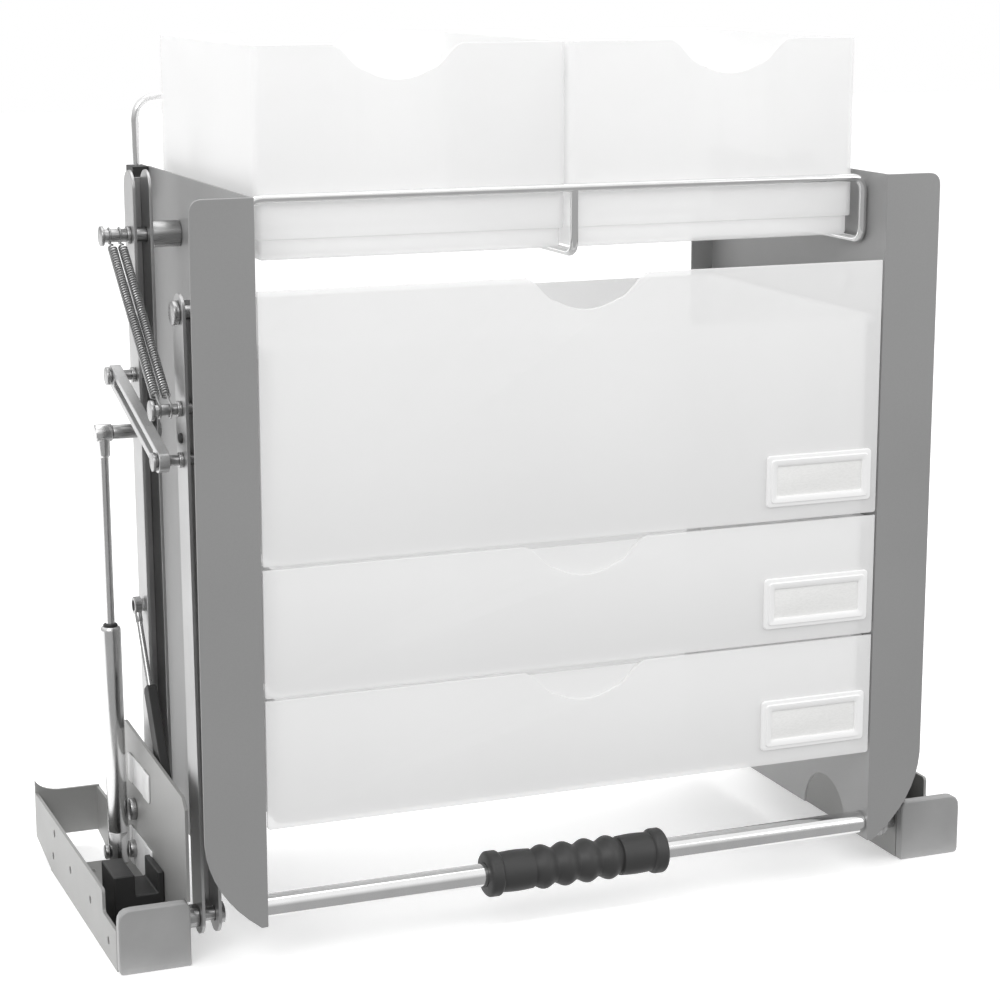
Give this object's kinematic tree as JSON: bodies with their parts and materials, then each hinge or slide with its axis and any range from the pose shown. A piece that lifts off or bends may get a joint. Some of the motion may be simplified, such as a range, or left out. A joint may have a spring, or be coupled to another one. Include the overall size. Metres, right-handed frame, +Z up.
{
  "type": "pull-down cabinet shelf lift",
  "caption": "Pull-down shelf lift for a wall cabinet: steel side plates with translucent drawers and bins, swung forward and down on paired arms by a gripped bar, with gas struts.",
  "frame": {"origin": "centre of the bounding box at its base, on the floor of the cabinet", "axes": "+X to the right across the cabinet, +Y to the rear, +Z up; the carriage comes out towards -Y"},
  "size_m": [0.564, 0.262, 0.532],
  "materials": {
    "floor_frame_steel": "satin light grey coat on folded sheet",
    "side_plate_steel": "satin grey coat on folded sheet",
    "arm_steel": "plain zinc grey",
    "pin_steel": "polished zinc",
    "wire_chrome": "polished chrome",
    "strut_chrome": "polished chrome",
    "spring_steel": "close-wound wire",
    "cap_plastic": "smooth grey",
    "black_plastic": "matt black",
    "grip_rubber": "matt dark grey, ribbed",
    "frosted_plastic": "frosted, translucent white",
    "runner_plastic": "white",
    "label_plastic": "clear frame over a white card"
  },
  "bodies": {
    "floor_frames": {"base_frame_left": "floor_frame_steel", "base_frame_right": "floor_frame_steel", "front_cap_left": "cap_plastic", "front_cap_right": "cap_plastic", "strut_cradle_left": "black_plastic", "strut_cradle_right": "black_plastic", "strut_base_pin_left": "pin_steel", "strut_base_pin_right": "pin_steel", "front_base_bolt_left": "pin_steel", "front_base_bolt_right": "pin_steel", "rear_base_bolt_left": "pin_steel", "rear_base_bolt_right": "pin_steel"},
    "front_arms": {"front_arm_left": "arm_steel", "front_arm_right": "arm_steel", "spring_lower_pin_left": "pin_steel", "spring_lower_pin_right": "pin_steel", "link_lower_pin_left": "pin_steel", "link_lower_pin_right": "pin_steel"},
    "rear_arms": {"rear_arm_left": "arm_steel", "rear_arm_right": "arm_steel", "link_upper_pin_left": "pin_steel", "link_upper_pin_right": "pin_steel", "strut_top_pin_left": "pin_steel", "strut_top_pin_right": "pin_steel"},
    "tie_links": {"tie_link_left": "arm_steel", "tie_link_right": "arm_steel"},
    "lift_springs": {"lift_spring_left_inner": "spring_steel", "lift_spring_left_outer": "spring_steel", "lift_spring_right_inner": "spring_steel", "lift_spring_right_outer": "spring_steel"},
    "strut_cylinders": {"strut_cylinder_left": "strut_chrome", "strut_cylinder_right": "strut_chrome"},
    "strut_rods": {"strut_rod_left": "strut_chrome", "strut_rod_right": "strut_chrome"},
    "damper_bodies": {"damper_body_left": "black_plastic", "damper_body_right": "black_plastic"},
    "damper_rods": {"damper_rod_left": "pin_steel", "damper_rod_right": "pin_steel"},
    "carriage": {"side_plate_left": "side_plate_steel", "side_plate_right": "side_plate_steel", "front_carriage_bolt_left": "pin_steel", "front_carriage_bolt_right": "pin_steel", "rear_carriage_bolt_left": "pin_steel", "rear_carriage_bolt_right": "pin_steel", "drawer_runner_left": "runner_plastic", "drawer_runner_right": "runner_plastic", "wire_holder_left": "black_plastic", "wire_holder_right": "black_plastic", "bin_shelf": "wire_chrome", "rear_guard": "wire_chrome", "handle_tube": "wire_chrome", "handle_grip": "grip_rubber"},
    "top_drawer": {"drawer_top": "frosted_plastic", "label_holder_top": "label_plastic"},
    "middle_drawer": {"drawer_middle": "frosted_plastic", "label_holder_middle": "label_plastic"},
    "bottom_drawer": {"drawer_bottom": "frosted_plastic", "label_holder_bottom": "label_plastic"},
    "left_bin": {"bin_left": "frosted_plastic"},
    "right_bin": {"bin_right": "frosted_plastic"}
  },
  "joints": [
    {"name": "lift_swing", "type": "hinge", "parent": "floor_frames", "child": "front_arms", "pos_m": [0, -0.087, 0.025], "axis": [1, 0, 0], "range_deg": [0, 90]},
    {"name": "rear_arm_swing", "type": "hinge", "parent": "floor_frames", "child": "rear_arms", "pos_m": [0, 0.021, 0.058], "axis": [1, 0, 0], "range_deg": [0, 90.05]},
    {"name": "carriage_level", "type": "hinge", "parent": "front_arms", "child": "carriage", "pos_m": [0, -0.07763, 0.38288], "axis": [1, 0, 0], "range_deg": [-90.05, 0]},
    {"name": "tie_link_swing", "type": "hinge", "parent": "front_arms", "child": "tie_links", "pos_m": [0, -0.07984, 0.29841], "axis": [1, 0, 0], "range_deg": [-90.05, 0]},
    {"name": "lift_spring_swing", "type": "hinge", "parent": "front_arms", "child": "lift_springs", "pos_m": [0, -0.07907, 0.3279], "axis": [1, 0, 0], "range_deg": [-95.84, 0], "deforming": ["lift_spring_left_inner", "lift_spring_left_outer", "lift_spring_right_inner", "lift_spring_right_outer"]},
    {"name": "strut_swing", "type": "hinge", "parent": "floor_frames", "child": "strut_cylinders", "pos_m": [0, 0.021, 0.032], "axis": [1, 0, 0], "range_deg": [0, 83.71]},
    {"name": "strut_rod_slide", "type": "slide", "parent": "strut_cylinders", "child": "strut_rods", "axis": [0, 0.0236, 0.9997], "range_m": [-0.02421, 0]},
    {"name": "damper_swing", "type": "hinge", "parent": "floor_frames", "child": "damper_bodies", "pos_m": [0, -0.034, 0.092], "axis": [1, 0, 0], "range_deg": [0, 143.58]},
    {"name": "damper_rod_slide", "type": "slide", "parent": "damper_bodies", "child": "damper_rods", "axis": [0, 0.5199, 0.8542], "range_m": [-0.03167, 0]},
    {"name": "top_drawer_slide", "type": "slide", "parent": "carriage", "child": "top_drawer", "axis": [0, -1, 0], "range_m": [0, 0.18]},
    {"name": "middle_drawer_slide", "type": "slide", "parent": "carriage", "child": "middle_drawer", "axis": [0, -1, 0], "range_m": [0, 0.18]},
    {"name": "bottom_drawer_slide", "type": "slide", "parent": "carriage", "child": "bottom_drawer", "axis": [0, -1, 0], "range_m": [0, 0.18]},
    {"name": "left_bin_lift", "type": "slide", "parent": "carriage", "child": "left_bin", "axis": [0, 0, 1], "range_m": [0, 0.12]},
    {"name": "right_bin_lift", "type": "slide", "parent": "carriage", "child": "right_bin", "axis": [0, 0, 1], "range_m": [0, 0.12]}
  ],
  "couplings": [
    {"joint": "rear_arm_swing", "follows": "lift_swing", "ratio": 1},
    {"joint": "carriage_level", "follows": "lift_swing", "ratio": -1},
    {"joint": "tie_link_swing", "follows": "lift_swing", "ratio": -1},
    {"joint": "lift_spring_swing", "follows": "lift_swing", "ratio": -1.0643},
    {"joint": "strut_swing", "follows": "lift_swing", "ratio": 0.9296},
    {"joint": "strut_rod_slide", "follows": "lift_swing", "m_per_rad": -0.015219},
    {"joint": "damper_swing", "follows": "lift_swing", "ratio": 1.5948},
    {"joint": "damper_rod_slide", "follows": "lift_swing", "m_per_rad": -0.019972}
  ]
}
